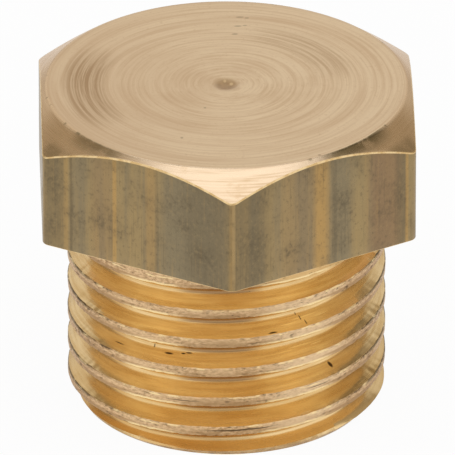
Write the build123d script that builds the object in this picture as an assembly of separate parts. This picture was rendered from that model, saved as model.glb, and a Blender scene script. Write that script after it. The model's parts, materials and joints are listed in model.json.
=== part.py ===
from build123d import *
import math
import os

# Pipe plug turned in one piece from brass hexagon bar: a hexagon head on a short male pipe thread.
# Sizes are in millimetres. The origin is the centre of the threaded end face, and +Z runs to the head.

# Hexagon head
across_flats = 15.0
head_height = 4.9
bar_corner_radius = 0.45
top_land_diameter = 14.56
top_chamfer_angle = 36.0
facing_pip_diameter = 1.0
facing_pip_depth = 0.09

# Threaded shank, from the end face to the underside of the head
shank_length = 8.85
end_chamfer = 0.53

# Parallel pipe thread of size G 1/4, right-hand
thread_pitch = 1.337
major_diameter = 12.9
minor_diameter = 11.445
flank_angle = 27.5
crest_width = 0.36
thread_start_angle = 93.0
runout_turns = 0.3
least_land_under_head = 0.1

# How far the cutting shapes stand clear of the stock
cut_clearance = 0.15

# Sizes that follow from those above
flat_radius = across_flats / 2
top_land_radius = top_land_diameter / 2
crest_radius = major_diameter / 2
root_radius = minor_diameter / 2
end_face_radius = crest_radius - end_chamfer
flank_slope = math.tan(math.radians(flank_angle))
groove_mouth = thread_pitch - crest_width
groove_floor = groove_mouth - 2 * (crest_radius - root_radius) * flank_slope
cut_depth = crest_radius - root_radius + cut_clearance
groove_room = max(groove_mouth / 2, runout_turns * thread_pitch + groove_floor / 2)
full_turns = math.floor((shank_length - least_land_under_head - groove_room) / thread_pitch)


def bar_section():
    """The section of drawn hexagon bar, with its small rounded corners and one corner facing -Y."""
    hexagon = RegularPolygon(flat_radius, 6, major_radius=False, rotation=30)
    return fillet(hexagon.vertices(), bar_corner_radius)


def turned_head():
    """The hexagon head, with its top corners turned away to a cone and a shallow pip left by facing."""
    bar = extrude(bar_section(), head_height)
    outside = flat_radius / math.cos(math.radians(30)) + cut_clearance
    chamfer_drop = (outside - top_land_radius) * math.tan(math.radians(top_chamfer_angle))
    envelope = Plane.XZ * Polygon(
        (0, 0),
        (outside, 0),
        (outside, head_height - chamfer_drop),
        (top_land_radius, head_height),
        (0, head_height),
        align=None,
    )
    pip_radius = facing_pip_diameter / 2
    ball_radius = (pip_radius**2 + facing_pip_depth**2) / (2 * facing_pip_depth)
    ball = Pos(0, 0, head_height + ball_radius - facing_pip_depth) * Sphere(ball_radius)
    return (bar & revolve(envelope, Axis.Z)) - ball


def thread_groove(turns, rise=0.0):
    """A length of the thread groove, which starts at full depth and moves outwards by the rise given."""
    height = turns * thread_pitch
    cone = math.atan2(rise, height)
    path = Helix(
        pitch=thread_pitch / math.cos(cone),
        height=height,
        radius=root_radius,
        cone_angle=math.degrees(cone),
    )
    half_floor = groove_floor / 2
    half_mouth = half_floor + cut_depth * flank_slope
    section = Plane(origin=path @ 0, x_dir=(1, 0, 0), z_dir=(0, 1, 0)) * Polygon(
        (0, -half_floor),
        (cut_depth, -half_mouth),
        (cut_depth, half_mouth),
        (0, half_floor),
        align=None,
    )
    axis_line = Line((0, 0, 0), (0, 0, height)).edge()
    return sweep(section, path=path, binormal=axis_line)


def threaded_shank():
    """The shank below the head, with its end chamfer and a helical thread that runs out under the head."""
    blank_profile = Plane.XZ * Polygon(
        (0, 0),
        (end_face_radius, 0),
        (crest_radius, end_chamfer),
        (crest_radius, shank_length),
        (0, shank_length),
        align=None,
    )
    one_turn = thread_groove(1.0)
    grooves = [Pos(0, 0, turn * thread_pitch) * one_turn for turn in range(-1, full_turns)]
    grooves.append(Pos(0, 0, full_turns * thread_pitch) * thread_groove(runout_turns, cut_depth))
    turned = Rot(0, 0, thread_start_angle)
    return revolve(blank_profile, Axis.Z) - [turned * groove for groove in grooves]


plug = threaded_shank() + Pos(0, 0, shank_length) * turned_head()

os.makedirs("parts", exist_ok=True)
export_step(plug, "parts/hex_plug.step")
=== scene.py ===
import json
import math

import bmesh
import bpy
from mathutils import Matrix, Vector, noise


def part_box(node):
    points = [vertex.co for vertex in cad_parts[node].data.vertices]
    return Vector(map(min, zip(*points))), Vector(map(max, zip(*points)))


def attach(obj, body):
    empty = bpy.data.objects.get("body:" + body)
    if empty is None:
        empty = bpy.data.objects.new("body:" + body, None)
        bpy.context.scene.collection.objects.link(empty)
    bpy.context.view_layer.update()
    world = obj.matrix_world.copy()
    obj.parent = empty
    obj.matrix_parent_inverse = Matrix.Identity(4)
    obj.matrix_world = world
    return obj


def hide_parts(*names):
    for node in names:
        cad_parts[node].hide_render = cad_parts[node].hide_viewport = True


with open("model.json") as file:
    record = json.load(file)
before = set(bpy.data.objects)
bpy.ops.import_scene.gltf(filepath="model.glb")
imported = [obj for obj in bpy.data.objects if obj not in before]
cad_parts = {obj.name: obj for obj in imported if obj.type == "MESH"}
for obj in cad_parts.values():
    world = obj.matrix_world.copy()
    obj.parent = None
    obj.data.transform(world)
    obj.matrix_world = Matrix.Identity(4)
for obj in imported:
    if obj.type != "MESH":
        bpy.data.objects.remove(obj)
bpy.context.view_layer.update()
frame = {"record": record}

bl_info = {
    "name": "Brass Pipe Plug",
    "version": (1, 0, 0),
    "blender": (4, 5, 0),
    "location": "3D View > Sidebar > Pipe Plug",
    "description": "Builds a turned brass pipe plug over its CAD solid, with a small photo stage",
    "category": "Object",
}

MM = 0.001
LOW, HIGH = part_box("hex_plug")
MOUNTS = {mount["name"]: mount for mount in frame["record"]["mounts"]}
THREAD = MOUNTS["male_thread"]
SEAT = MOUNTS["head_seat"]

# Columns of the mesh round the axis, and its rows on each part of the head and on the end face
SIDES = 6
SIDE_COLUMNS = 70
CORNER_COLUMNS = 6
COLUMNS = SIDES * SIDE_COLUMNS
PIP_ROWS = 5
TOP_ROWS = 34
CONE_ROWS = 7
FLAT_ROWS = 10
UNDER_ROWS = 6
END_ROWS = 14
END_RIM = (1.0, 0.985, 0.95)

# Rows of the thread as shares of the crest and of the flank, above and below the crest's middle
CREST_ABOVE = (0.2, 0.6, 1.0)
FLANK_ABOVE = (0.0, 0.33, 0.66, 1.0)
CREST_BELOW = (0.1, 0.45, 0.75, 1.0)
FLANK_BELOW = (0.33, 0.66, 1.0)
ROOT_ROW = 0.55

# Rounded edges, and how far the middle of a rounding lies inside the sharp edge
EDGE_ROUND = 0.03 * MM
ARRIS_ROUND = 0.045 * MM
CREST_BEVEL = 0.022 * MM
ROUND_IN = 0.3
ARRIS_DROP = 0.12

# Fine relief of the turned faces and wear of the thread and the corners
RING_RELIEF = 0.004 * MM
RINGS_PER_MM = 2.3
END_RELIEF = 0.003 * MM
CREST_WEAR_MM = 0.024
PIT_DEPTH_MM = 0.035
LIP_WEAR_MM = 0.008
FLANK_RIPPLE_MM = 0.003
COARSE_RAG_MM = 0.024
FINE_RAG_MM = 0.020
WEAR_FALL_ABOVE_MM = 0.06
WEAR_FALL_BELOW_MM = 0.34
PLAIN_MARGIN = 0.12 * MM
OTHER_CORNERS_RUB = 0.55

# Limits within which points are joined and faces are sorted
MERGE_WITHIN = 0.0002 * MM
SLIVER = 0.0001 * MM
SHARP_DEGREES = 35
ZONE_SLACK = 0.01 * MM
CREST_SLACK = 0.02 * MM

# The camera, the floor, the lamp and the light of the room
FLOOR_HALF = 1.5
LAMP_SPOT = (0.0, -0.05, 0.6)
LAMP_SIDE = 0.4
LAMP_POWER = 0.05
SENSOR_WIDTH = 36.0
CLIP_NEAR = 0.05
CLIP_FAR = 20.0
FLOOR_SEEN = 0.95
WARM_SHADE = (1.0, 0.86, 0.64, 1.0)
WHITE = (1.0, 1.0, 1.0, 1.0)

# Directions round the axis in degrees from +X
RIGHT = 0.0
LEFT = 180.0
FRONT = -90.0

FACED, CONE, SKIN, EDGE, FLANK, CREST, PLAIN = range(7)

# The layout of the flats starts this many millimetres further on for each side
SIDE_STEP = 20.0
# Draw lines on the two front flats: tone, side, place along the side, reach and strength
DRAW_LINES = (
    ("dark", 2, 0.45, 0.85, 0.40),
    ("gold", 2, 1.08, 0.14, 0.30),
    ("dark", 2, 1.31, 0.09, 0.50),
    ("red", 2, 2.75, 0.70, 0.30),
    ("gold", 2, 3.30, 0.13, 0.65),
    ("gold", 2, 4.95, 0.34, 0.45),
    ("dark", 2, 5.22, 0.09, 0.25),
    ("grey", 2, 6.9, 1.9, 0.90),
    ("dark", 2, 7.6, 1.5, 0.35),
    ("dark", 3, 0.6, 1.6, 0.45),
    ("red", 3, 3.2, 1.3, 0.25),
    ("gold", 3, 4.28, 0.60, 0.80),
    ("grey", 3, 5.05, 0.80, 0.90),
    ("dark", 3, 4.80, 0.16, 0.30),
    ("red", 3, 7.2, 1.1, 0.75),
    ("dark", 3, 7.95, 0.40, 0.35),
    ("gold", 3, 8.22, 0.10, 0.60),
)
# Painted shade on the cone near its two front corners: direction, reach in degrees, part of the cone and
# strength
CONE_CORNER_SHADE = (
    (-46.0, 17.0, "inner", 0.85),
    (-33.0, 8.0, "outer", 0.50),
    (224.0, 13.0, "inner", 0.60),
    (213.0, 8.0, "outer", 0.50),
)
# The other marks are given by their middle and half sizes in millimetres
# Blotches on the flats, along the sides and by height
SKIN_BLOTCHES = (
    (40.7, 11.8, 1.0, 1.3), (40.5, 9.9, 0.8, 0.9), (42.6, 10.5, 0.9, 0.8), (46.6, 11.3, 1.3, 0.8),
    (47.4, 10.2, 1.3, 0.9), (43.5, 10.2, 0.6, 0.5), (60.9, 10.6, 1.3, 1.5), (61.3, 9.3, 1.1, 0.7),
    (65.2, 11.6, 0.9, 1.3), (67.9, 11.3, 0.7, 1.4), (62.8, 10.0, 1.0, 0.7),
)
# Specks on the faced top and spots in its pip, by x and y; the pip's glints are painted highlights
FACE_SPECKS = (
    (0.70, 5.86, 0.22, 0.08), (0.98, 5.78, 0.12, 0.07), (0.60, 5.07, 0.20, 0.08), (0.88, 5.12, 0.12, 0.06),
    (0.46, 4.37, 0.16, 0.09), (-0.92, -2.04, 0.07, 0.08), (-1.91, -4.61, 0.08, 0.10),
    (3.55, -6.25, 0.09, 0.10),
)
PIP_HOLES = ((-0.02, 0.16, 0.16, 0.20), (0.10, -0.10, 0.22, 0.18), (-0.30, 0.02, 0.16, 0.16))
PIP_GLINTS = ((-0.06, 0.34, 0.08, 0.12), (0.20, 0.12, 0.10, 0.14))
# Marks on the thread, along the helix and across it from the crest's middle
FLANK_MARKS = (
    (98.55, 0.46, 0.26, 0.030), (99.20, 0.50, 0.12, 0.025), (99.45, 0.53, 0.20, 0.028),
    (65.60, 0.42, 0.11, 0.10), (144.88, 0.55, 0.03, 0.06), (145.00, 0.43, 0.03, 0.08),
    (145.14, 0.30, 0.03, 0.08), (143.60, 0.24, 0.24, 0.025), (97.75, 0.60, 0.035, 0.10),
    (96.05, 0.38, 0.36, 0.013),
)
# Painted highlight streaks on the flanks
FLANK_GLEAMS = (
    (185.9, 0.56, 0.55, 0.022), (186.3, 0.50, 0.40, 0.016), (145.2, 0.43, 0.80, 0.020),
    (144.4, 0.36, 0.50, 0.016), (146.0, 0.36, 0.55, 0.018), (104.5, 0.46, 0.70, 0.020),
    (105.3, 0.40, 0.40, 0.016), (64.8, 0.50, 0.60, 0.018),
)
CREST_STAINS = ((60.3, -0.05, 2.2, 0.30), (141.6, -0.05, 1.3, 0.26), (181.9, -0.12, 1.2, 0.14))
CREST_CREASES = (
    (20.6, 0.04, 1.9, 0.050), (98.63, -0.17, 0.035, 0.06), (58.9, 0.02, 0.9, 0.022), (64.6, 0.03, 0.7, 0.022),
)
# Painted highlight glints on the crests' upper edge
CREST_GLINTS = (
    (143.9, 0.15, 0.10, 0.045), (57.6, 0.13, 0.50, 0.040), (64.2, 0.13, 0.60, 0.035),
    (16.9, 0.12, 0.60, 0.035),
)


def tone(red, green, blue):
    """A display colour, given in steps from 0 to 255, as a linear colour with alpha."""
    steps = [value / 255.0 for value in (red, green, blue)]
    return (*[s / 12.92 if s <= 0.04045 else ((s + 0.055) / 1.055) ** 2.4 for s in steps], 1.0)


def length(name, description, default):
    return bpy.props.FloatProperty(
        name=name, description=description, default=default, min=0.0, precision=6, unit="LENGTH"
    )


def angle(name, description, degrees):
    return bpy.props.FloatProperty(
        name=name, description=description, default=math.radians(degrees), subtype="ANGLE", unit="ROTATION"
    )


def colour(name, description, default):
    return bpy.props.FloatVectorProperty(
        name=name, description=description, default=default, size=4, min=0.0, max=1.0, subtype="COLOR"
    )


class PlugSizes(bpy.types.PropertyGroup):
    """Sizes of the plug, taken from the CAD solid where it states them."""

    across_flats: length("Across flats", "Hexagon size between opposite flats", HIGH[0] - LOW[0])
    overall_height: length("Overall height", "From the threaded end to the top of the head", HIGH[2])
    shank_length: length("Shank length", "From the threaded end to the head's underside", SEAT["pos_m"][2])
    corner_radius: length("Corner radius", "Rounded corner of the drawn hexagon bar", 0.45 * MM)
    top_land: length("Top land radius", "Radius of the flat faced top", 7.28 * MM)
    top_chamfer: angle("Top chamfer", "Slope of the turned cone below the top", 36.0)
    pip_radius: length("Pip radius", "Small hollow that facing leaves at the centre", 0.5 * MM)
    pip_depth: length("Pip depth", "Depth of that hollow", 0.09 * MM)
    crest_radius: length("Crest radius", "Outside radius of the thread", THREAD["dims"]["r_mm"] * MM)
    root_radius: length("Root radius", "Radius at the bottom of the thread groove", 5.7225 * MM)
    pitch: length("Pitch", "Rise of the thread in one turn", 1.337 * MM)
    crest_width: length("Crest width", "Width of the thread crest along the axis", 0.36 * MM)
    flank: angle("Flank angle", "Lean of each thread flank", 27.5)
    thread_start: angle("Thread start", "Direction in which the groove crosses the end face", 93.0)
    full_turns: bpy.props.IntProperty(
        name="Full turns", description="Turns of full depth above the end face", default=6, min=1
    )
    runout: bpy.props.FloatProperty(
        name="Run-out", description="Turns over which the groove fades out", default=0.3, min=0.05
    )
    runout_rise: length("Run-out rise", "How far the groove floor rises over the run-out", 0.8775 * MM)
    end_chamfer: length("End chamfer", "Chamfer at the threaded end", 0.53 * MM)


class PlugFinish(bpy.types.PropertyGroup):
    """Colours of the bare brass and of the skin left by drawing the bar, some of which also paint highlights
    and shade.
    """

    # This colour also paints a highlight on the crests left and right of the front
    faced: colour("Faced brass", "Top of the head as faced in the lathe", tone(236, 208, 169))
    # This colour also paints shade on the left side of the top
    faced_dark: colour("Faced brass, dull", "Duller rings on the faced top", tone(212, 178, 138))
    # This colour is also painted shade: in two curved bands on the top, in the root at the front and on the
    # crests' lower half at the front
    stain_and_shade: colour("Stain", "Brown stain on the top, in the pip and on the thread", tone(176, 140, 98))
    cone: colour("Turned cone", "Chamfer of the head", tone(247, 220, 187))
    # This colour also paints shade on the two sides of the cone
    cone_dark: colour("Turned cone, dull", "Duller turning lines on the chamfer", tone(218, 184, 142))
    # This colour is painted shade on the two sides of the cone
    cone_side_shade: colour("Turned cone, brown", "Browner brass at the sides of the chamfer", tone(230, 191, 143))
    # This colour paints nicks on the cone's edge, and is painted shade near the cone's front corners and on
    # the far crests' upper edge
    nick_and_shade: colour("Smear", "Olive smears on the chamfer and the far crests", tone(128, 112, 78))
    skin: colour("Drawn skin", "Olive skin of the hexagon flats", tone(168, 144, 102))
    # This colour also paints shade on the lower flanks below the crests
    skin_grey: colour("Drawn skin, grey", "Grey draw lines, and grime below the crests", tone(142, 128, 101))
    skin_dark: colour("Drawn skin, dark", "Dark draw lines and blotches on the flats", tone(106, 94, 74))
    skin_gold: colour("Drawn skin, gold", "Draw lines where the brass shows through", tone(196, 156, 95))
    skin_red: colour("Drawn skin, red", "Reddish brown draw lines", tone(152, 122, 91))
    # This colour also paints highlights: a line down the front corner and two glints in the pip
    edge: colour("Worn edge", "Bare brass on corners and edges", tone(240, 210, 158))
    # This colour also paints light on the right of the band below the lowest turn
    flank: colour("Thread flank", "Freshly cut thread flanks", tone(242, 210, 155))
    # This colour also paints shade on the lowest turn and on the topmost crest under the head
    flank_dull: colour("Thread flank, dull", "Duller lines along the flanks", tone(222, 182, 118))
    # This colour is painted highlight: lines and streaks on the flanks, a band below the crests, and glints
    # and lips on the crests
    gleam: colour("Gleam", "Burnished lines and lips on the thread", tone(255, 228, 172))
    # This colour is painted shade in the root of the groove and on the left of the band below the lowest turn
    root: colour("Thread root", "Stained bottom of the thread groove", tone(214, 170, 108))
    crest: colour("Torn crest", "Torn brass on the thread crests", tone(232, 196, 150))
    # This colour also paints shade on the crests' lower half beside the front
    crest_dull: colour("Torn crest, dull", "Duller specks on the crests", tone(184, 147, 105))
    # This colour also paints a dark line of shade below the crests at the front, and shade along the crests'
    # upper edge
    pit: colour("Pit", "Dark pits in the torn brass", tone(86, 66, 44))


class PlugStage(bpy.types.PropertyGroup):
    """Camera and floor."""

    azimuth: angle("Azimuth", "Direction of the camera round the plug", -1.533)
    elevation: angle("Elevation", "Height of the camera above the horizon", 27.97)
    distance: length("Distance", "From the camera to the plug", 0.7)
    frame_width: length("Frame width", "Width of the picture at the plug", 18.402 * MM)
    aim_height: length("Aim height", "Height of the point on the axis that the framing starts from", 7.0 * MM)
    aim_right: length("Aim right", "Shift of the picture centre to the right", 0.042 * MM)
    aim_up: length("Aim up", "Shift of the picture centre upwards", 0.1836 * MM)
    floor: colour("Floor", "Colour of the floor", (0.9, 0.9, 0.9, 1.0))


def smooth(low, high, value):
    """Smooth step from 0 at the low value to 1 at the high one."""
    part = min(1.0, max(0.0, (value - low) / (high - low)))
    return part * part * (3.0 - 2.0 * part)


def grain(a, b, seed):
    """Smooth noise from -1 to 1 at a place given in millimetres."""
    return noise.noise(Vector((a, b, seed)))


def polar(radius, turn, height):
    """A point at a share of a turn counted from +Y."""
    around = math.pi / 2 + 2 * math.pi * turn
    return Vector((radius * math.cos(around), radius * math.sin(around), height))


def spun(bm, profile, side, lift=0.0):
    """Spin a chain of (radius, height) points through one sixth of a turn and return its numbered columns."""
    start = side / SIDES
    chain = [bm.verts.new(polar(radius, start, height + lift * start)) for radius, height in profile]
    edges = [bm.edges.new(pair) for pair in zip(chain, chain[1:])]
    bmesh.ops.spin(
        bm, geom=chain + edges, axis=(0, 0, 1), cent=(0, 0, 0), dvec=(0, 0, lift / COLUMNS),
        angle=2 * math.pi / SIDES, steps=SIDE_COLUMNS, use_merge=False, use_duplicate=False,
    )
    bm.verts.ensure_lookup_table()
    rows = len(profile)
    return [
        (side * SIDE_COLUMNS + step, bm.verts[step * rows:(step + 1) * rows])
        for step in range(SIDE_COLUMNS + 1)
    ]


def bands(bm, columns):
    """Each face of a spun grid with its column and row."""
    for (column, here), (_, there) in zip(columns, columns[1:]):
        for row in range(len(here) - 1):
            yield bm.faces.get((here[row], here[row + 1], there[row + 1], there[row])), column, row


class HexOutline:
    """Drawn hexagon bar as a closed outline with one (radius, turn) point for each column."""

    def __init__(self, sizes):
        apothem = sizes.across_flats / 2
        reach = (apothem - sizes.corner_radius) / math.cos(math.radians(30))
        half = reach * math.sin(math.radians(30))
        side = []
        for step in range(SIDE_COLUMNS):
            mirrored = SIDE_COLUMNS - step
            if min(step, mirrored) <= CORNER_COLUMNS:
                lean = math.radians(30.0 * min(step, mirrored) / CORNER_COLUMNS)
                out = min(reach + sizes.corner_radius * math.cos(lean), HIGH[1])
                across = sizes.corner_radius * math.sin(lean)
                turn = math.atan2(across, out) / (2 * math.pi)
                side.append((math.hypot(out, across), turn if step < mirrored else 1 / SIDES - turn))
            else:
                share = (step - CORNER_COLUMNS) / (SIDE_COLUMNS - 2 * CORNER_COLUMNS)
                along = half * (2 * share - 1)
                turn = math.atan2(along, apothem) / (2 * math.pi)
                side.append((math.hypot(apothem, along), 0.5 / SIDES + turn))
        self.points = [(radius, number / SIDES + turn) for number in range(SIDES) for radius, turn in side]


class ThreadForm:
    """Radius of the threaded shank at any height and direction."""

    def __init__(self, sizes):
        self.sizes = sizes
        self.slope = math.tan(sizes.flank)
        self.half_crest = sizes.crest_width / 2
        self.depth = sizes.crest_radius - sizes.root_radius
        self.half_floor = sizes.pitch / 2 - self.half_crest - self.depth * self.slope
        self.root_round = self.half_floor / (math.cos(sizes.flank) - (1 - math.sin(sizes.flank)) * self.slope)
        self.round_end = self.root_round * math.cos(sizes.flank)
        self.first_crest = (0.75 - sizes.thread_start / (2 * math.pi)) * sizes.pitch

    def rows(self):
        """Heights over one pitch, measured from the crest's middle, at which the profile has points."""
        half = self.sizes.pitch / 2
        inner = half - self.round_end
        outer = self.half_crest + CREST_BEVEL
        above = [share * (self.half_crest - CREST_BEVEL) for share in CREST_ABOVE]
        above += [outer + share * (inner - outer) for share in FLANK_ABOVE]
        below = [share * self.half_crest for share in CREST_BELOW]
        below += [self.half_crest + share * (inner - self.half_crest) for share in FLANK_BELOW]
        for heights in (above, below):
            heights.append(half - ROOT_ROW * self.round_end)
        return [-half] + [-height for height in reversed(below)] + above

    def radius(self, turn, height):
        """Radius of the unworn thread, with its run-out under the head and its end chamfer."""
        sizes = self.sizes
        place = (height - self.first_crest) / sizes.pitch - turn
        crest = round(place)
        offset = (place - crest) * sizes.pitch
        aside = sizes.pitch / 2 - abs(offset)
        if aside < self.round_end:
            rise = self.root_round - math.sqrt(self.root_round ** 2 - aside ** 2)
        else:
            rise = min(self.depth, (aside - self.half_floor) / self.slope)
        groove = self.first_crest / sizes.pitch + crest + turn + (0.5 if offset > 0 else -0.5)
        fade_out = min(1.0, max(0.0, (groove - sizes.full_turns) / sizes.runout))
        plain = min(sizes.crest_radius, sizes.root_radius + rise + sizes.runout_rise * fade_out)
        return min(plain, sizes.crest_radius - sizes.end_chamfer + max(0.0, height))


def head_profile():
    """Rows of the head from the centre of the top to the thread, as (zone, share) pairs."""
    rows = [("pip", row / PIP_ROWS) for row in range(PIP_ROWS + 1)]
    rows += [("top", row / TOP_ROWS) for row in range(1, TOP_ROWS + 1)]
    rows += [("cone", row / CONE_ROWS) for row in range(CONE_ROWS + 1)]
    rows += [("arris", 0.5)]
    rows += [("flat", row / FLAT_ROWS) for row in range(FLAT_ROWS + 1)]
    rows += [("foot", 0.5)]
    rows += [("under", row / UNDER_ROWS) for row in range(UNDER_ROWS + 1)]
    return rows


def head_point(sizes, outline, zone, share, column):
    """Place of one vertex of the head."""
    reach, turn = outline.points[column]
    top, land = sizes.overall_height, sizes.top_land
    slope = math.tan(sizes.top_chamfer)
    corner = top - (reach - land) * slope
    even = column / COLUMNS
    if zone == "pip":
        radius = sizes.pip_radius * share
        return polar(radius, even, top - sizes.pip_depth * (1.0 - share * share))
    if zone == "top":
        radius = sizes.pip_radius + (land - EDGE_ROUND - sizes.pip_radius) * share
        ring = 0.5 + 0.5 * grain(radius / MM * RINGS_PER_MM, 0.3 * math.cos(2 * math.pi * turn), 3.0)
        return polar(radius, even + (turn - even) * share, top - RING_RELIEF * ring * (1.0 - share ** 6))
    if zone == "cone":
        start = land + EDGE_ROUND * 0.5
        radius = start + (reach - ARRIS_ROUND - start) * share
        return polar(radius, turn, top - (radius - land) * slope)
    if zone == "arris":
        return polar(reach - ARRIS_ROUND * ROUND_IN, turn, corner - ARRIS_ROUND * ARRIS_DROP)
    if zone == "flat":
        high, low = corner - ARRIS_ROUND, sizes.shank_length + EDGE_ROUND
        return polar(reach, turn, high + (low - high) * share)
    if zone == "foot":
        return polar(reach - EDGE_ROUND * ROUND_IN, turn, sizes.shank_length + EDGE_ROUND * ROUND_IN)
    radius = reach - EDGE_ROUND + (sizes.crest_radius - reach + EDGE_ROUND) * share
    return polar(radius, turn + (even - turn) * share, sizes.shank_length)


def add_head(bm, sizes, side):
    """One side of the hexagon head: a spun form whose rim is moved out to the bar's outline."""
    rows = head_profile()
    outline = HexOutline(sizes)
    steps = [(sizes.top_land, sizes.overall_height * (1 - row / len(rows))) for row in range(len(rows))]
    columns = spun(bm, steps, side)
    worn = bm.verts.layers.float["worn"]
    lay = bm.loops.layers.uv["lay"]
    for column, line in columns:
        aside = abs((column + SIDE_COLUMNS / 2) % SIDE_COLUMNS - SIDE_COLUMNS / 2)
        brightening = 1.0 if abs(column - COLUMNS / 2) < SIDE_COLUMNS / 2 else OTHER_CORNERS_RUB
        for (zone, share), vert in zip(rows, line):
            vert.co = head_point(sizes, outline, zone, share, column % COLUMNS)
            vert[worn] = brightening * (1.0 - smooth(0.0, CORNER_COLUMNS, aside))
    for face, _, row in bands(bm, columns):
        above, below = rows[row][0], rows[row + 1][0]
        if below in ("pip", "top"):
            face.material_index = FACED
        elif below == "cone":
            face.material_index = CONE
        elif above == "flat" and below == "flat":
            face.material_index = SKIN
        elif above == "under" and below == "under":
            face.material_index = PLAIN
        else:
            face.material_index = EDGE
        for loop in face.loops:
            loop[lay].uv = (side_place(sizes, side, loop.vert.co), loop.vert.co.z / MM)


def side_place(sizes, side, spot):
    """Distance in millimetres along one side of the hexagon from its first corner, in the flats' layout."""
    out = math.radians(90 + 60 * side + 30)
    along = spot.y * math.cos(out) - spot.x * math.sin(out)
    return SIDE_STEP * side + (along + sizes.across_flats / 2 * math.tan(math.radians(30))) / MM


def add_thread(bm, sizes, side):
    """One sixth of the threaded shank: a profile of several pitches, spun with the rise of the thread."""
    form = ThreadForm(sizes)
    crests = range(-1, sizes.full_turns + 1)
    rows = [(crest, offset) for crest in crests for offset in form.rows()]
    rows.append((crests[-1], sizes.pitch / 2))
    heights = [form.first_crest + crest * sizes.pitch + offset for crest, offset in rows]
    columns = spun(bm, [(sizes.crest_radius, height) for height in heights], side, sizes.pitch)
    worn = bm.verts.layers.float["worn"]
    lay = bm.loops.layers.uv["lay"]
    round_mm = 2 * math.pi * sizes.crest_radius / MM
    places = {vert: (column, row) for column, line in columns for row, vert in enumerate(line)}
    for face, column, row in bands(bm, columns):
        crest = rows[row][0]
        base = form.first_crest + crest * sizes.pitch
        middle = (heights[row] + heights[row + 1]) / 2 - base
        turn = (column + 0.5) / COLUMNS
        height = base + middle + turn * sizes.pitch
        cone = sizes.crest_radius - sizes.end_chamfer + height
        radius = form.radius(turn, height)
        if 0.0 < height < sizes.end_chamfer and radius > cone - ZONE_SLACK:
            face.material_index = EDGE
        elif abs(middle) < form.half_crest + ZONE_SLACK or radius > sizes.crest_radius - CREST_SLACK:
            face.material_index = CREST
        else:
            face.material_index = FLANK
        for loop in face.loops:
            at_column, at_row = places[loop.vert]
            loop[lay].uv = (round_mm * (crest + at_column / COLUMNS), (heights[at_row] - base) / MM)
    for column, line in columns:
        for (crest, offset), vert in zip(rows, line):
            vert.co, vert[worn] = thread_point(form, column / COLUMNS, crest, offset, round_mm)


def thread_point(form, turn, crest, offset, round_mm):
    """Place of one vertex of the thread, with its torn crest, and how deeply it is pitted."""
    sizes = form.sizes
    height = form.first_crest + (crest + turn) * sizes.pitch + offset
    if height <= 0.0 or height >= sizes.shank_length:
        height = min(sizes.shank_length, max(0.0, height))
        return polar(form.radius(turn, height), turn, height), 0.0
    along = round_mm * (crest + turn)
    across = offset / MM
    beyond = abs(offset) - form.half_crest
    fall = WEAR_FALL_ABOVE_MM if offset > 0 else WEAR_FALL_BELOW_MM
    on_crest = 1.0 - smooth(-0.02 * MM, fall * MM, beyond)
    at_edge = smooth(-0.10 * MM, -0.03 * MM, beyond) * (1.0 - smooth(0.03 * MM, 0.20 * MM, beyond))
    inner = smooth(0.0, PLAIN_MARGIN, height) * smooth(0.0, PLAIN_MARGIN, sizes.shank_length - height)
    side = 1.0 if offset > 0 else -1.0
    rag = COARSE_RAG_MM * grain(along * 1.6, side * 3.0, 11.0)
    rag += FINE_RAG_MM * grain(along * 4.3, side * 5.0, 12.0)
    pit = smooth(0.30, 0.62, grain(along * 2.4, across * 7.0, 21.0)) * on_crest
    wear = 0.5 + 0.5 * grain(along * 1.3, across * 5.0, 22.0)
    lip = min(1.0, max(0.0, -offset / form.half_crest - 0.1)) ** 2
    radius = form.radius(turn, height)
    radius -= MM * inner * on_crest * (CREST_WEAR_MM * wear + PIT_DEPTH_MM * pit + LIP_WEAR_MM * lip)
    radius += MM * inner * (1.0 - on_crest) * FLANK_RIPPLE_MM * grain(along * 0.35, across * 5.0, 31.0)
    return polar(radius, turn, height + MM * rag * at_edge * inner), pit * inner


def add_end(bm, sizes, side):
    """One sixth of the flat threaded end, which closes the shank."""
    form = ThreadForm(sizes)
    shares = [*END_RIM] + [row / END_ROWS for row in range(END_ROWS - 1, -1, -1)]
    # The chain stands clear of the axis until its points are placed
    clear = 0.1
    columns = spun(bm, [(sizes.root_radius * (share + clear), 0.0) for share in shares], side)
    for face, _, _ in bands(bm, columns):
        face.material_index = PLAIN
    for column, line in columns:
        turn = column / COLUMNS
        rim = form.radius(turn, 0.0)
        for share, vert in zip(shares, line):
            ring = 0.5 + 0.5 * grain(share * END_ROWS, 0.0, 41.0)
            vert.co = polar(rim * share, turn, END_RELIEF * ring * smooth(1.0, 0.9, share))


def node(tree, kind, inputs=None, **settings):
    """Add a shader node, set its properties, and set or link its inputs."""
    made = tree.nodes.new(kind)
    for name, value in settings.items():
        setattr(made, name, value)
    for name, value in (inputs or {}).items():
        if isinstance(value, bpy.types.NodeSocket):
            tree.links.new(value, made.inputs[name])
        else:
            made.inputs[name].default_value = value
    return made


def combine(tree, x, y, z):
    return node(tree, "ShaderNodeCombineXYZ", {0: x, 1: y, 2: z}).outputs[0]


def parts(tree, vector):
    return node(tree, "ShaderNodeSeparateXYZ", {0: vector}).outputs


def sums(tree, operation, first, second=0.0):
    return node(tree, "ShaderNodeMath", {0: first, 1: second}, operation=operation).outputs[0]


def vectors(tree, operation, first, second=(0.0, 0.0, 0.0), output="Vector"):
    return node(tree, "ShaderNodeVectorMath", {0: first, 1: second}, operation=operation).outputs[output]


def times(tree, product, *factors):
    """Multiply several factors."""
    for factor in factors:
        product = sums(tree, "MULTIPLY", product, factor)
    return product


def most(tree, largest, *others):
    """The largest of several factors."""
    for other in others:
        largest = sums(tree, "MAXIMUM", largest, other)
    return largest


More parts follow.
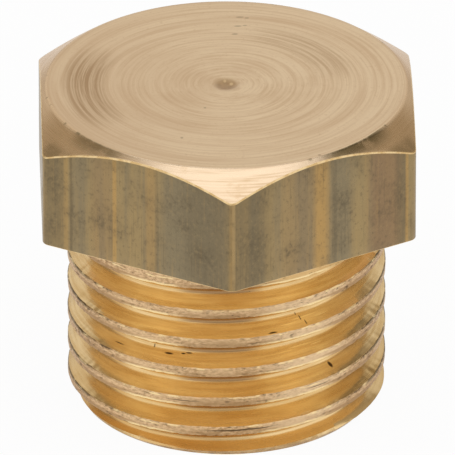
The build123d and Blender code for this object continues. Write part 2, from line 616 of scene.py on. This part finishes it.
def fade(tree, value, low, high, start=0.0, end=1.0):
    """Map a value from one range to another, with smooth ends and clamped."""
    mapped = node(
        tree, "ShaderNodeMapRange",
        {"Value": value, "From Min": low, "From Max": high, "To Min": start, "To Max": end},
        interpolation_type="SMOOTHSTEP",
    )
    return mapped.outputs["Result"]


def gloss(tree, pattern, low, high):
    """Roughness that follows a pattern, from its low places to its high ones."""
    return fade(tree, pattern, 0.3, 0.7, low, high)


def blend(tree, factor, first, second):
    """Mix two colours."""
    mix = node(tree, "ShaderNodeMix", data_type="RGBA")
    for socket, value in zip((mix.inputs[0], mix.inputs[6], mix.inputs[7]), (factor, first, second)):
        if isinstance(value, bpy.types.NodeSocket):
            tree.links.new(value, socket)
        else:
            socket.default_value = value
    return mix.outputs[2]


class Coat:
    """A colour that is built up in layers, each laid over the last by a factor."""

    def __init__(self, tree, tint):
        self.tree = tree
        self.tint = tint

    def add(self, factor, tint):
        self.tint = blend(self.tree, factor, self.tint, tint)


def mottle(tree, vector, scale, detail=4.0, roughness=0.55):
    """Noise from 0 to 1 over a vector."""
    made = node(
        tree, "ShaderNodeTexNoise",
        {"Vector": vector, "Scale": scale, "Detail": detail, "Roughness": roughness},
        noise_dimensions="3D",
    )
    return made.outputs["Fac"]


def bump(tree, height, distance):
    return node(tree, "ShaderNodeBump", {"Height": height, "Strength": 1.0, "Distance": distance}).outputs[0]


def metal(name):
    """A bare metal material with its shader, ready for colour, roughness and bump."""
    material = bpy.data.materials.new(name)
    material.use_nodes = True
    tree = material.node_tree
    tree.nodes.clear()
    shader = node(tree, "ShaderNodeBsdfPrincipled", {"Metallic": 1.0})
    node(tree, "ShaderNodeOutputMaterial", {"Surface": shader.outputs[0]})
    return material, tree, shader


def dress(tree, shader, coat, rough, relief=None):
    """Link a colour, a roughness and a fine relief to the shader."""
    tree.links.new(coat.tint, shader.inputs["Base Color"])
    tree.links.new(rough, shader.inputs["Roughness"])
    if relief:
        tree.links.new(relief, shader.inputs["Normal"])


def round_axis(tree):
    """Radius in millimetres, direction round the axis, and place in metres."""
    spot = node(tree, "ShaderNodeTexCoord").outputs["Object"]
    x, y, _ = parts(tree, spot)
    flat = combine(tree, x, y, 0.0)
    radius = vectors(tree, "LENGTH", flat, output="Value")
    aim = vectors(tree, "NORMALIZE", flat)
    return times(tree, radius, 1.0 / MM), aim, spot


def ring_space(tree, radius, aim, per_mm, turn_scale):
    """Coordinates that run across the turning rings and only slowly round the axis."""
    x, y, _ = parts(tree, aim)
    return combine(tree, times(tree, radius, per_mm), times(tree, x, turn_scale), times(tree, y, turn_scale))


def lay_space(tree, along=1.0, across=1.0):
    """Coordinates of the piece's own layout, in millimetres, each scaled."""
    lay = node(tree, "ShaderNodeUVMap", uv_map="lay").outputs[0]
    return node(tree, "ShaderNodeMapping", {"Vector": lay, "Scale": (along, across, 1.0)}).outputs[0]


def lay_noise(tree, along, across, detail, roughness):
    """Noise over the scaled layout."""
    return mottle(tree, lay_space(tree, along, across), 1.0, detail, roughness)


def worn_places(tree):
    return node(tree, "ShaderNodeAttribute", attribute_name="worn").outputs["Fac"]


def marks(tree, spot, places, core=0.45):
    """Soft oval marks, each given by its middle and half sizes, as one factor."""
    total = 0.0
    for x, y, half_x, half_y in places:
        gap = vectors(tree, "SUBTRACT", spot, (x, y, 0.0))
        gap = vectors(tree, "MULTIPLY", gap, (1.0 / half_x, 1.0 / half_y, 0.0))
        size = vectors(tree, "LENGTH", gap, output="Value")
        total = most(tree, fade(tree, size, 1.0, core), total)
    return total


def facing(tree, aim, degrees, wide, narrow):
    """Factor that is 1 towards one direction round the axis and fades over the angles given."""
    way = (math.cos(math.radians(degrees)), math.sin(math.radians(degrees)), 0.0)
    lean = vectors(tree, "DOT_PRODUCT", aim, way, "Value")
    return fade(tree, lean, math.cos(math.radians(wide)), math.cos(math.radians(narrow)))


def near(tree, value, middle, reach, strength=1.0):
    """Factor that is highest at one value and fades to nothing at the reach given."""
    gap = sums(tree, "ABSOLUTE", sums(tree, "SUBTRACT", value, middle))
    return fade(tree, gap, reach * 0.35, reach, strength, 0.0)


def faced_metal(finish):
    """Faced top: fine rings, painted shade on its left side and in two curved bands, a dark pip with painted
    glints, and some specks.
    """
    material, tree, shader = metal("faced_brass")
    radius, aim, spot = round_axis(tree)
    to_mm = (1.0 / MM, 1.0 / MM, 1.0 / MM)
    spot_mm = node(tree, "ShaderNodeMapping", {"Vector": spot, "Scale": to_mm}).outputs[0]
    fine = mottle(tree, ring_space(tree, radius, aim, 7.0, 0.9), 1.0, 5.0, 0.7)
    broad = mottle(tree, ring_space(tree, radius, aim, 1.5, 0.8), 1.0, 3.0, 0.5)
    cloud = mottle(tree, spot_mm, 0.42, 4.0, 0.6)
    grit = mottle(tree, spot_mm, 7.0, 3.0, 0.6)
    coat = Coat(tree, finish.faced)
    coat.add(fade(tree, fine, 0.32, 0.60, 0.60, 0.0), finish.faced_dark)
    coat.add(fade(tree, broad, 0.50, 0.72, 0.0, 0.35), finish.faced_dark)
    coat.add(fade(tree, cloud, 0.50, 0.80, 0.0, 0.35), finish.faced_dark)
    coat.add(fade(tree, grit, 0.56, 0.74, 0.0, 0.45), finish.faced_dark)
    # Painted shade: the rings are darker on the left side of the top and in two curved bands, left and upper
    # right
    left_side_shade = times(tree, facing(tree, aim, 185.0, 80.0, 25.0), 0.3)
    coat.add(left_side_shade, finish.faced_dark)
    left_arc_shade = times(tree, facing(tree, aim, 182.0, 40.0, 10.0), near(tree, radius, 5.75, 1.1, 1.0))
    right_arc_shade = times(tree, facing(tree, aim, 40.0, 42.0, 8.0), near(tree, radius, 4.5, 1.1, 0.45))
    arc_shade = times(tree, most(tree, left_arc_shade, right_arc_shade), fade(tree, fine, 0.62, 0.42, 0.3, 0.85))
    coat.add(arc_shade, finish.stain_and_shade)
    coat.add(times(tree, marks(tree, spot_mm, FACE_SPECKS), 0.35), finish.pit)
    holes = times(tree, marks(tree, spot_mm, PIP_HOLES), 0.15)
    pip = Coat(tree, finish.stain_and_shade)
    pip.add(holes, finish.pit)
    # Painted highlights: two glints in the pip
    glints = times(tree, marks(tree, spot_mm, PIP_GLINTS), 0.6)
    pip.add(glints, finish.edge)
    coat.add(fade(tree, radius, 0.66, 0.26, 0.0, 0.80), pip.tint)
    dress(tree, shader, coat, gloss(tree, fine, 0.42, 0.34), bump(tree, fine, 0.003 * MM))
    return material


def cone_metal(finish):
    """Turned cone below the top: turning lines, painted shade on its sides and near its two front corners,
    and nicks on its edge.
    """
    material, tree, shader = metal("turned_cone")
    radius, aim, spot = round_axis(tree)
    fine = mottle(tree, ring_space(tree, radius, aim, 10.0, 2.2), 1.0, 4.0, 0.65)
    cloud = mottle(tree, spot, 1300.0, 5.0, 0.65)
    chips = mottle(tree, ring_space(tree, radius, aim, 1.0, 26.0), 1.0, 2.0)
    coat = Coat(tree, finish.cone)
    coat.add(fade(tree, fine, 0.30, 0.56, 0.75, 0.0), finish.cone_dark)
    coat.add(fade(tree, cloud, 0.55, 0.75, 0.0, 0.5), finish.cone_dark)
    # Painted shade: the two sides of the cone are darker and browner
    for side in (RIGHT, LEFT):
        side_shade = fade(tree, facing(tree, aim, side, 64.0, 30.0), 0.0, 1.0, 0.0, 0.5)
        coat.add(side_shade, finish.cone_side_shade)
        dull = fade(tree, facing(tree, aim, side, 40.0, 16.0), 0.0, 1.0, 0.0, 0.8)
        coat.add(dull, finish.cone_dark)
    # Painted shade near the cone's two front corners, on the part of the cone that each entry names
    zones = {"inner": fade(tree, radius, 7.95, 7.35), "outer": fade(tree, radius, 7.85, 8.25)}
    for degrees, wide, zone, strength in CONE_CORNER_SHADE:
        patchy = fade(tree, cloud, 0.36, 0.55, 0.4 * strength, strength)
        place = facing(tree, aim, degrees, wide, wide * 0.3)
        coat.add(times(tree, place, zones[zone], patchy), finish.nick_and_shade)
    nicks = times(tree, fade(tree, chips, 0.62, 0.72, 0.0, 0.6), fade(tree, radius, 7.40, 7.30))
    coat.add(nicks, finish.nick_and_shade)
    dress(tree, shader, coat, gloss(tree, fine, 0.34, 0.22), bump(tree, fine, 0.004 * MM))
    return material


def skin_metal(finish):
    """Drawn hexagon flats: olive skin with draw lines along the bar, soft blotches, worn corners, and a
    painted highlight line down the front corner.
    """
    material, tree, shader = metal("drawn_skin")
    lay = lay_space(tree)
    across, _, _ = parts(tree, lay)
    worn = worn_places(tree)
    fine = lay_noise(tree, 9.0, 0.25, 4.0, 0.6)
    broad = lay_noise(tree, 1.4, 0.06, 3.0, 0.5)
    cloud = lay_noise(tree, 0.9, 0.7, 4.0, 0.6)
    grit = lay_noise(tree, 6.0, 4.5, 4.0, 0.7)
    coat = Coat(tree, finish.skin)
    coat.add(fade(tree, broad, 0.36, 0.64, 0.8, 0.0), finish.skin_grey)
    for name, side, place, reach, strength in DRAW_LINES:
        line = near(tree, across, SIDE_STEP * side + place, reach, strength)
        coat.add(line, getattr(finish, "skin_" + name))
    patch = times(tree, marks(tree, lay, SKIN_BLOTCHES, 0.0), fade(tree, cloud, 0.34, 0.60, 0.35, 1.0))
    blotch = most(tree, fade(tree, cloud, 0.46, 0.72, 0.05, 0.7), patch)
    blotch = times(tree, blotch, fade(tree, grit, 0.34, 0.66, 0.20, 0.70))
    coat.add(blotch, finish.skin_dark)
    coat.add(fade(tree, fine, 0.54, 0.74, 0.0, 0.20), finish.skin_gold)
    coat.add(fade(tree, fine, 0.46, 0.30, 0.0, 0.30), finish.skin_dark)
    coat.add(fade(tree, grit, 0.48, 0.30, 0.0, 0.30), finish.skin)
    coat.add(fade(tree, grit, 0.53, 0.70, 0.0, 0.45), finish.skin_dark)
    rub = times(tree, fade(tree, worn, 0.10, 0.95, 0.0, 0.38), fade(tree, cloud, 0.62, 0.42, 0.5, 1.0))
    coat.add(rub, finish.skin_gold)
    # Painted highlight: a bright line down the front corner
    front_corner_highlight = near(tree, across, SIDE_STEP * 3 + 0.08, 0.10, 0.14)
    front_corner_highlight = times(tree, front_corner_highlight, fade(tree, cloud, 0.66, 0.44, 0.3, 1.0))
    coat.add(front_corner_highlight, finish.edge)
    dress(tree, shader, coat, gloss(tree, cloud, 0.26, 0.38), bump(tree, fine, 0.003 * MM))
    return material


def edge_metal(finish):
    """Bare bright brass on the thin edges."""
    material, tree, shader = metal("worn_edge")
    spot = node(tree, "ShaderNodeTexCoord").outputs["Object"]
    streak = mottle(tree, spot, 2500.0, 4.0, 0.6)
    coat = Coat(tree, finish.edge)
    coat.add(fade(tree, streak, 0.40, 0.62, 0.6, 0.0), finish.skin_gold)
    dress(tree, shader, coat, gloss(tree, streak, 0.24, 0.34))
    return material


def highlight_stretches(tree, aim, left, right):
    """Factor for the two stretches of the thread, left and right of the front, where a highlight is painted.
    """
    on_left = times(tree, facing(tree, aim, -119.0, 22.0, 6.0), left)
    return most(tree, on_left, times(tree, facing(tree, aim, -61.0, 22.0, 6.0), right))


def flank_metal(finish):
    """Cut thread flanks: fine lines along the thread, painted highlight streaks, painted shade in the root
    and on the lower flank, and dark marks.
    """
    material, tree, shader = metal("cut_flank")
    lay = lay_space(tree)
    along, across, _ = parts(tree, lay)
    _, aim, _ = round_axis(tree)
    lines = lay_noise(tree, 0.35, 12.0, 4.0, 0.6)
    gleam = lay_noise(tree, 0.55, 14.0, 2.0, 0.5)
    patch = lay_noise(tree, 0.30, 1.2, 3.0, 0.5)
    speck = lay_noise(tree, 2.6, 7.0, 2.0, 0.5)
    coat = Coat(tree, finish.flank)
    coat.add(fade(tree, lines, 0.34, 0.62, 0.65, 0.0), finish.flank_dull)
    coat.add(fade(tree, patch, 0.52, 0.74, 0.0, 0.6), finish.flank_dull)
    # Painted highlights: bright lines in the stretches left and right of the front, and bright streaks
    brightening = times(tree, highlight_stretches(tree, aim, 0.38, 0.52), fade(tree, lines, 0.40, 0.66, 0.12, 1.0))
    coat.add(brightening, finish.gleam)
    shine = most(tree, fade(tree, gleam, 0.70, 0.80, 0.0, 0.7), marks(tree, lay, FLANK_GLEAMS))
    coat.add(shine, finish.gleam)

    # Painted shade in the root of the groove, darkest a little left of the front, with a painted dark line
    # below the crests there, and weaker where the highlight stretches are painted
    depth = sums(tree, "ABSOLUTE", across)
    shade_strength = fade(tree, highlight_stretches(tree, aim, 1.0, 1.0), 0.0, 1.0, 1.0, 0.3)
    root = times(tree, fade(tree, depth, 0.46, 0.60), fade(tree, lines, 0.30, 0.70, 0.75, 1.0), shade_strength)
    coat.add(root, finish.root)
    front = facing(tree, aim, -95.0, 19.0, 8.0)
    coat.add(times(tree, near(tree, depth, 0.65, 0.09), front), finish.stain_and_shade)
    coat.add(times(tree, near(tree, across, 0.59, 0.05, 0.1), front), finish.pit)

    # The lower flank has a painted highlight on a matt band below the crest at the front, and painted shade
    # that is strongest at the sides
    below = times(tree, fade(tree, across, 0.0, -0.1), fade(tree, along, -0.5, 0.5))
    ledge_highlight = times(tree, below, facing(tree, aim, FRONT, 46.0, 32.0), fade(tree, across, -0.36, -0.26))
    coat.add(ledge_highlight, finish.gleam)
    shade_left = times(tree, facing(tree, aim, -160.0, 50.0, 12.0), 0.24)
    shade_right = times(tree, facing(tree, aim, -20.0, 52.0, 12.0), 0.37)
    painted_shade = times(tree, below, most(tree, shade_left, shade_right, 0.07))
    coat.add(painted_shade, finish.skin_grey)

    # Painted shade darkens the lowest turn, and the band below it has painted light on the right and painted
    # shade on the left
    lowest_turn_shade = fade(tree, along, 44.0, 30.0, 0.0, 0.45)
    coat.add(lowest_turn_shade, finish.flank_dull)
    painted_light_right = times(tree, fade(tree, along, 0.5, -0.5, 0.0, 0.8), facing(tree, aim, -55.0, 55.0, 20.0))
    coat.add(painted_light_right, finish.flank)
    side_shade = times(tree, fade(tree, along, 0.5, -0.5, 0.0, 0.5), facing(tree, aim, -135.0, 50.0, 20.0))
    coat.add(side_shade, finish.root)

    coat.add(fade(tree, speck, 0.74, 0.80, 0.0, 0.8), finish.pit)
    coat.add(marks(tree, lay, FLANK_MARKS), finish.pit)
    rough = most(tree, gloss(tree, lines, 0.29, 0.18), fade(tree, ledge_highlight, 0.0, 1.0, 0.18, 0.7))
    dress(tree, shader, coat, rough, bump(tree, lines, 0.005 * MM))
    return material


def crest_metal(finish):
    """Torn thread crests: matt brass with soft pits, painted shade in places, and broken painted highlights
    on the upper edge and on the lip below.
    """
    material, tree, shader = metal("torn_crest")
    lay = lay_space(tree)
    along, across, _ = parts(tree, lay)
    _, aim, _ = round_axis(tree)
    worn = worn_places(tree)
    tear = lay_noise(tree, 5.0, 13.0, 5.0, 0.7)
    deep = lay_noise(tree, 3.6, 9.0, 4.0, 0.7)
    burr = lay_noise(tree, 1.5, 4.0, 3.0, 0.6)
    patch = lay_noise(tree, 0.28, 0.5, 2.0, 0.5)
    rough = fade(tree, patch, 0.36, 0.60, 0.20, 1.0)
    dull = times(tree, fade(tree, tear, 0.60, 0.38), fade(tree, rough, 0.0, 1.0, 0.45, 1.0))
    coat = Coat(tree, finish.crest)
    coat.add(dull, finish.crest_dull)
    # Painted highlight on the crests left and right of the front
    coat.add(highlight_stretches(tree, aim, 0.10, 0.45), finish.faced)

    # Painted shade: the lower half is darker beside the front and at the front, the far upper edge is darker,
    # and the topmost crest under the head is duller
    beside = sums(tree, "SUBTRACT", 1.0, facing(tree, aim, FRONT, 41.0, 29.0))
    beside = times(tree, beside, facing(tree, aim, FRONT, 76.0, 58.0))
    under = fade(tree, across, 0.02, -0.05)
    coat.add(times(tree, under, beside, 0.85), finish.crest_dull)
    far = fade(tree, facing(tree, aim, FRONT, 68.0, 54.0), 0.0, 1.0, 1.0, 0.0)
    shade = times(tree, fade(tree, across, 0.05, 0.12, 0.0, 0.7), far)
    coat.add(shade, finish.nick_and_shade)
    under_head_shade = fade(tree, along, 222.5, 225.5, 0.0, 0.75)
    coat.add(under_head_shade, finish.flank_dull)
    middle = times(tree, under, facing(tree, aim, FRONT, 22.0, 10.0))
    middle = times(tree, middle, fade(tree, burr, 0.60, 0.40, 0.25, 0.8))
    coat.add(middle, finish.stain_and_shade)
    stains = times(tree, marks(tree, lay, CREST_STAINS, 0.2), 0.5)
    coat.add(stains, finish.stain_and_shade)

    # Pits lie where the crest is torn; along its upper edge, strongest away from the front, they are also
    # painted shade
    aside = fade(tree, facing(tree, aim, FRONT, 48.0, 34.0), 0.0, 1.0, 1.0, 0.2)
    rim = times(tree, near(tree, across, 0.165, 0.075, aside), fade(tree, deep, 0.48, 0.60, 0.0, 0.8))
    pits = most(tree, fade(tree, worn, 0.30, 0.95, 0.0, 0.8), fade(tree, deep, 0.565, 0.66, 0.0, 0.8), rim)
    creases = times(tree, marks(tree, lay, CREST_CREASES), 0.9)
    coat.add(most(tree, times(tree, pits, rough), creases), finish.pit)

    # Painted highlights: a bright lip below the crest left and right of the front, broken glints on its upper
    # edge and the listed glints
    brightening = most(tree, facing(tree, aim, -120.0, 14.0, 5.0), facing(tree, aim, -65.0, 18.0, 6.0))
    lip = times(tree, near(tree, across, -0.160, 0.085), brightening, fade(tree, burr, 0.36, 0.48, 0.35, 1.0))
    crown_highlight = times(tree, near(tree, across, 0.165, 0.055), fade(tree, burr, 0.52, 0.62, 0.0, 0.8))
    bright = most(tree, lip, crown_highlight, marks(tree, lay, CREST_GLINTS))
    coat.add(bright, finish.gleam)
    dress(tree, shader, coat, gloss(tree, tear, 0.50, 0.32), bump(tree, tear, 0.012 * MM))
    return material


def plain_metal(finish):
    """Underside of the head and the threaded end, plainly turned."""
    material, tree, shader = metal("plain_turned")
    radius, aim, _ = round_axis(tree)
    fine = mottle(tree, ring_space(tree, radius, aim, 7.0, 1.0), 1.0, 5.0, 0.65)
    coat = Coat(tree, finish.faced_dark)
    coat.add(fade(tree, fine, 0.32, 0.62), finish.faced)
    dress(tree, shader, coat, gloss(tree, fine, 0.42, 0.32), bump(tree, fine, 0.004 * MM))
    return material


class PLUG_OT_turned_body(bpy.types.Operator):
    """Build the plug: hexagon head, threaded shank and end face in one closed mesh"""

    bl_idname = "pipe_plug.turned_body"
    bl_label = "Build Plug"

    def execute(self, context):
        sizes, finish = context.scene.plug_sizes, context.scene.plug_finish
        mesh = bpy.data.meshes.new("plug_body")
        bm = bmesh.new()
        for add in (add_head, add_thread, add_end):
            for side in range(SIDES):
                piece = bmesh.new()
                piece.verts.layers.float.new("worn")
                piece.loops.layers.uv.new("lay")
                add(piece, sizes, side)
                piece.to_mesh(mesh)
                piece.free()
                bm.from_mesh(mesh)
        bmesh.ops.remove_doubles(bm, verts=bm.verts[:], dist=MERGE_WITHIN)
        bmesh.ops.dissolve_degenerate(bm, edges=bm.edges[:], dist=SLIVER)
        bmesh.ops.recalc_face_normals(bm, faces=bm.faces[:])
        for face in bm.faces:
            face.smooth = True
        for edge in bm.edges:
            slots = {face.material_index for face in edge.link_faces}
            blunt = edge.calc_face_angle(0.0) < math.radians(SHARP_DEGREES)
            edge.smooth = blunt and slots != {FLANK, CREST}
        open_edges = sum(not edge.is_manifold for edge in bm.edges)
        bm.to_mesh(mesh)
        bm.free()
        if open_edges:
            raise RuntimeError(f"the plug's mesh has {open_edges} edges that aren't closed")
        for make in (faced_metal, cone_metal, skin_metal, edge_metal, flank_metal, crest_metal, plain_metal):
            mesh.materials.append(make(finish))
        body = bpy.data.objects.new("plug_body", mesh)
        context.scene.collection.objects.link(body)
        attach(body, "root")
        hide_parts("hex_plug")
        return {"FINISHED"}


def floor_material(stage):
    """Pale floor, white to the camera; in reflections it glows with painted pools of light and shade, and a
    painted shadow where the plug stands on it.
    """
    material = bpy.data.materials.new("pale_floor")
    material.use_nodes = True
    tree = material.node_tree
    tree.nodes.clear()
    path = node(tree, "ShaderNodeLightPath")
    radius, aim, _ = round_axis(tree)
    # Painted pools of light left and right of the front
    left = times(tree, facing(tree, aim, -145.0, 32.0, 13.0), fade(tree, radius, 6.2, 8.5, 0.35, 1.0))
    right = times(tree, facing(tree, aim, -38.0, 31.0, 11.0), fade(tree, radius, 7.5, 9.5, 0.2, 1.0))
    light_pools = times(tree, most(tree, left, right), fade(tree, radius, 26.0, 19.0))
    # Painted shade: the plain glow is dimmer near the plug, far off and in front
    rising = fade(tree, radius, 14.0, 26.0, 0.53, 0.76)
    falling = fade(tree, radius, 26.0, 50.0, 0.76, 0.52)
    ahead = fade(tree, facing(tree, aim, FRONT, 28.0, 14.0), 0.0, 1.0, 0.76, 0.45)
    plain = sums(tree, "MINIMUM", rising, falling)
    plain = sums(tree, "MINIMUM", plain, fade(tree, radius, 12.0, 20.0, 0.53, ahead))
    behind = fade(tree, facing(tree, aim, FRONT, 105.0, 70.0), 0.0, 1.0, 0.84, 1.0)
    # Painted shadow where the plug stands on the floor
    foot = fade(tree, radius, 5.6, 9.0, 0.26, 1.0)
    pool = most(tree, times(tree, plain, behind, foot), light_pools)
    seen = most(tree, path.outputs["Is Camera Ray"], path.outputs["Is Transmission Ray"])
    mirrored = times(tree, path.outputs["Is Glossy Ray"], pool)
    share = most(tree, times(tree, seen, FLOOR_SEEN), mirrored)
    paper = node(tree, "ShaderNodeBsdfDiffuse", {"Color": stage.floor})
    glow = node(tree, "ShaderNodeEmission", {"Color": WHITE, "Strength": 1.0})
    mix = node(tree, "ShaderNodeMixShader", {0: share})
    tree.links.new(paper.outputs[0], mix.inputs[1])
    tree.links.new(glow.outputs[0], mix.inputs[2])
    node(tree, "ShaderNodeOutputMaterial", {"Surface": mix.outputs[0]})
    return material


def room_light(scene):
    """White room in front, a softer back wall and dim sides, and plain white to the camera."""
    world = bpy.data.worlds.new("studio")
    world.use_nodes = True
    tree = world.node_tree
    tree.nodes.clear()
    across, depth, height = parts(tree, node(tree, "ShaderNodeTexCoord").outputs["Generated"])
    aside = sums(tree, "ABSOLUTE", across)
    overhead = times(tree, fade(tree, height, 0.72, 0.84), fade(tree, across, 0.54, 0.42, 0.0, 1.05))
    overhead = times(tree, overhead, fade(tree, across, -0.43, -0.35), fade(tree, depth, 0.40, 0.20))
    gap = times(tree, fade(tree, height, -0.08, 0.10), fade(tree, height, 0.75, 0.45))
    gap = times(tree, gap, fade(tree, aside, 0.42, 0.20, 0.0, 0.35))
    low = sums(tree, "SUBTRACT", depth, fade(tree, height, 0.68, 0.40, 0.0, 0.20))
    front = times(tree, fade(tree, low, 0.12, -0.12), sums(tree, "SUBTRACT", 1.0, gap))
    flare = times(tree, most(tree, sums(tree, "SUBTRACT", aside, 0.45), 0.0), 0.9)
    start = fade(tree, aside, 0.1, 0.4, 0.22, 0.40)
    full = fade(tree, aside, 0.1, 0.4, 0.52, 0.66)
    back = fade(tree, sums(tree, "SUBTRACT", depth, flare), start, full, 0.0, 0.81)
    back = times(tree, back, fade(tree, across, 0.15, 0.45, 1.0, 0.94))
    back = times(tree, back, fade(tree, height, 0.05, 0.40, 0.72, 1.0))
    sides = fade(tree, across, -0.40, 0.40, 0.30, 0.16)
    sides = most(tree, sides, fade(tree, across, -0.53, -0.62, 0.16, 0.42))
    sides = most(tree, sides, fade(tree, across, 0.53, 0.64, 0.16, 0.40))
    room = most(tree, overhead, front, back, sides)
    path = node(tree, "ShaderNodeLightPath")
    strength = most(tree, room, path.outputs["Is Camera Ray"])
    shade = blend(tree, fade(tree, strength, 0.30, 0.75), WARM_SHADE, WHITE)
    glow = node(tree, "ShaderNodeBackground", {"Color": shade, "Strength": strength})
    node(tree, "ShaderNodeOutputWorld", {"Surface": glow.outputs[0]})
    scene.world = world


def soft_box(scene):
    """A dim square lamp overhead that looks at the plug."""
    lamp = bpy.data.lights.new("overhead_box", "AREA")
    lamp.shape = "RECTANGLE"
    lamp.size, lamp.size_y = LAMP_SIDE, LAMP_SIDE
    lamp.energy = LAMP_POWER
    box = bpy.data.objects.new("overhead_box", lamp)
    box.location = LAMP_SPOT
    box.rotation_euler = (-Vector(LAMP_SPOT)).to_track_quat("-Z", "Y").to_euler()
    scene.collection.objects.link(box)


class PLUG_OT_stage(bpy.types.Operator):
    """Add the floor, the soft light and the camera"""

    bl_idname = "pipe_plug.stage"
    bl_label = "Build Stage"

    def execute(self, context):
        scene, stage = context.scene, context.scene.plug_stage
        bm = bmesh.new()
        bmesh.ops.create_grid(bm, x_segments=1, y_segments=1, size=FLOOR_HALF)
        mesh = bpy.data.meshes.new("floor")
        bm.to_mesh(mesh)
        bm.free()
        mesh.materials.append(floor_material(stage))
        floor = bpy.data.objects.new("floor", mesh)
        scene.collection.objects.link(floor)

        room_light(scene)
        soft_box(scene)

        swing, rise = stage.azimuth, stage.elevation
        back = Vector((math.sin(swing) * math.cos(rise), -math.cos(swing) * math.cos(rise), math.sin(rise)))
        right = Vector((math.cos(swing), math.sin(swing), 0.0))
        up = back.cross(right)
        aim = Vector((0.0, 0.0, stage.aim_height)) + right * stage.aim_right + up * stage.aim_up
        lens = bpy.data.cameras.new("camera")
        lens.sensor_width = SENSOR_WIDTH
        lens.lens = SENSOR_WIDTH * stage.distance / stage.frame_width
        lens.clip_start, lens.clip_end = CLIP_NEAR, CLIP_FAR
        camera = bpy.data.objects.new("camera", lens)
        axes = Matrix((right, up, back)).transposed().to_4x4()
        camera.matrix_world = Matrix.Translation(aim + back * stage.distance) @ axes
        scene.collection.objects.link(camera)
        scene.camera = camera
        scene.view_settings.view_transform = "Standard"
        return {"FINISHED"}


class PLUG_PT_panel(bpy.types.Panel):
    """Sizes, finish and stage of the plug"""

    bl_label = "Pipe Plug"
    bl_idname = "PLUG_PT_panel"
    bl_space_type = "VIEW_3D"
    bl_region_type = "UI"
    bl_category = "Pipe Plug"

    def draw(self, context):
        for title, name, _ in GROUPS:
            group = getattr(context.scene, name)
            box = self.layout.box()
            box.label(text=title)
            for entry in group.__annotations__:
                box.prop(group, entry)
        self.layout.operator(PLUG_OT_turned_body.bl_idname)
        self.layout.operator(PLUG_OT_stage.bl_idname)


GROUPS = (
    ("Sizes", "plug_sizes", PlugSizes),
    ("Finish", "plug_finish", PlugFinish),
    ("Stage", "plug_stage", PlugStage),
)
CLASSES = (PlugSizes, PlugFinish, PlugStage, PLUG_OT_turned_body, PLUG_OT_stage, PLUG_PT_panel)


def register():
    for cls in CLASSES:
        bpy.utils.register_class(cls)
    for _, name, group in GROUPS:
        setattr(bpy.types.Scene, name, bpy.props.PointerProperty(type=group))


def unregister():
    for _, name, _ in GROUPS:
        delattr(bpy.types.Scene, name)
    for cls in reversed(CLASSES):
        bpy.utils.unregister_class(cls)


def main():
    register()
    bpy.ops.pipe_plug.turned_body()
    bpy.ops.pipe_plug.stage()


if __name__ == "__main__":
    main()
